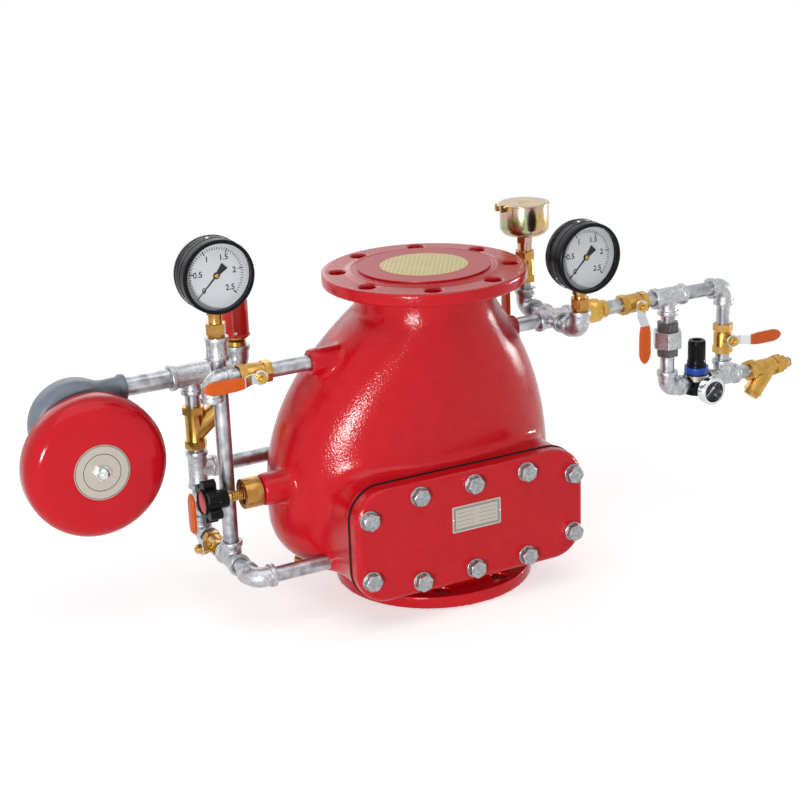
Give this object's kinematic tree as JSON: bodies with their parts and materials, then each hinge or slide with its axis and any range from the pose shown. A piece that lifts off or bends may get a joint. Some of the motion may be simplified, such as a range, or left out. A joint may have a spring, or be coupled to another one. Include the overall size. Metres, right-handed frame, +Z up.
{
  "type": "dry-pipe sprinkler alarm valve",
  "caption": "Flanged dry-pipe alarm valve with a bolted access cover, hinged clapper, water motor gong, gauges, ball valves, air regulator line and filling cup.",
  "frame": {"origin": "centre of the inlet flange's sealing face", "axes": "+Z up along the water way towards the outlet, -Y towards the access cover, +X towards the air supply trim"},
  "size_m": [1.211, 0.332, 0.536],
  "materials": {
    "red_paint": "gloss red coat on cast iron",
    "bell_paint": "gloss red coat on pressed steel",
    "grey_paint": "grey hammered coat",
    "galvanised": "hot dip galvanised, mottled",
    "zinc_bolt": "zinc plated",
    "dark_steel": "dark malleable iron",
    "steel": "plated, satin",
    "chrome": "bright plated",
    "brass": "forged, machined flats",
    "bronze": "cast, dull",
    "yellow_zinc": "yellow passivated zinc",
    "rubber": "moulded",
    "black_plastic": "moulded, fine grain",
    "orange_grip": "dipped vinyl",
    "blue_plastic": "moulded",
    "red_plastic": "moulded",
    "dial_white": "matt enamel",
    "glass": "clear"
  },
  "bodies": {
    "fixed": {"valve_body": "red_paint", "inspection_cover": "red_paint", "cover_gasket": "rubber", "cover_bolts": "zinc_bolt", "data_plate": "steel", "outlet_cover": "red_plastic", "seat_ring": "brass", "hinge_pin": "steel", "drain_bonnet": "bronze", "pipes": "galvanised", "elbows": "galvanised", "tees": "galvanised", "riser_coupling": "galvanised", "ball_valves": "brass", "strainers": "brass", "gauge_connectors": "bronze", "gauge_cases": "black_plastic", "gauge_dials": "dial_white", "gauge_glasses": "glass", "mini_gauge_case": "chrome", "switch_base": "brass", "switch_cover": "red_paint", "motor_housing": "grey_paint", "gong_spindle": "chrome", "gong_bell": "bell_paint", "gong_plate": "chrome", "check_valve": "brass", "union_nut": "galvanised", "union_ends": "dark_steel", "regulator_body": "black_plastic", "regulator_ring": "blue_plastic", "air_inlet": "brass", "fill_cup": "yellow_zinc"},
    "clapper": {"clapper": "bronze", "clapper_seal": "rubber"},
    "drain_disc": {"drain_disc": "brass"},
    "drain_knob": {"drain_knob": "black_plastic", "drain_stem": "brass"},
    "left_needle": {"left_needle": "black_plastic"},
    "right_needle": {"right_needle": "black_plastic"},
    "mini_needle": {"mini_needle": "dial_white"},
    "gong_rotor": {"gong_rotor": "steel"},
    "regulator_knob": {"regulator_knob": "black_plastic"},
    "cup_lid": {"cup_lid": "yellow_zinc"},
    "level_handle": {"level_lever": "steel", "level_grip": "orange_grip", "level_stem": "brass"},
    "test_handle": {"test_lever": "steel", "test_grip": "orange_grip", "test_stem": "brass"},
    "fill_handle": {"fill_lever": "steel", "fill_grip": "orange_grip", "fill_stem": "brass"},
    "air_handle": {"air_lever": "steel", "air_grip": "orange_grip", "air_stem": "brass"},
    "bypass_handle": {"bypass_lever": "steel", "bypass_grip": "orange_grip", "bypass_stem": "brass"}
  },
  "joints": [
    {"name": "clapper_hinge", "type": "hinge", "parent": "fixed", "child": "clapper", "pos_m": [0, 0.118, 0.1163], "axis": [-1, 0, 0], "range_deg": [0, 65]},
    {"name": "drain_lift", "type": "slide", "parent": "fixed", "child": "drain_disc", "axis": [-1, 0, 0], "range_m": [0, 0.008]},
    {"name": "drain_turn", "type": "hinge", "parent": "drain_disc", "child": "drain_knob", "pos_m": [-0.33, 0, 0.18], "axis": [-1, 0, 0], "range_deg": [0, 720]},
    {"name": "level_turn", "type": "hinge", "parent": "fixed", "child": "level_handle", "pos_m": [-0.264, -0.005, 0.35], "axis": [0, 1, 0], "range_deg": [0, 90]},
    {"name": "test_turn", "type": "hinge", "parent": "fixed", "child": "test_handle", "pos_m": [-0.301, 0.084, 0.076], "axis": [-1, 0, 0], "range_deg": [0, 90]},
    {"name": "fill_turn", "type": "hinge", "parent": "fixed", "child": "fill_handle", "pos_m": [0.21, 0.078, 0.408], "axis": [1, 0, 0], "range_deg": [0, 90]},
    {"name": "air_turn", "type": "hinge", "parent": "fixed", "child": "air_handle", "pos_m": [0.348, 0, 0.346], "axis": [0, -1, 0], "range_deg": [0, 90]},
    {"name": "bypass_turn", "type": "hinge", "parent": "fixed", "child": "bypass_handle", "pos_m": [0.517, 0, 0.264], "axis": [0, -1, 0], "range_deg": [0, 90]},
    {"name": "left_needle_turn", "type": "hinge", "parent": "fixed", "child": "left_needle", "pos_m": [-0.301, 0, 0.486], "axis": [0, 1, 0], "range_deg": [0, 270], "stiffness_Nm_per_rad": 0.0005, "springref_deg": -17.19},
    {"name": "right_needle_turn", "type": "hinge", "parent": "fixed", "child": "right_needle", "pos_m": [0.21, -0.098, 0.455], "axis": [0, 1, 0], "range_deg": [0, 270], "stiffness_Nm_per_rad": 0.0005, "springref_deg": -17.19},
    {"name": "mini_needle_turn", "type": "hinge", "parent": "fixed", "child": "mini_needle", "pos_m": [0.468, -0.046, 0.197], "axis": [0, 1, 0], "range_deg": [0, 270], "stiffness_Nm_per_rad": 0.0005, "springref_deg": -17.19},
    {"name": "lid_hinge", "type": "hinge", "parent": "fixed", "child": "cup_lid", "pos_m": [0.168, 0.078, 0.5035], "axis": [0, -1, 0], "range_deg": [0, 110]},
    {"name": "regulator_turn", "type": "hinge", "parent": "fixed", "child": "regulator_knob", "pos_m": [0.468, 0, 0.24], "axis": [0, 0, 1], "range_deg": [-720, 720]},
    {"name": "gong_turn", "type": "hinge", "parent": "fixed", "child": "gong_rotor", "pos_m": [-0.465, 0.1, 0.229], "axis": [0, 1, 0], "continuous": true}
  ],
  "couplings": [
    {"joint": "drain_turn", "follows": "drain_lift", "rad_per_m": 1570.8}
  ]
}
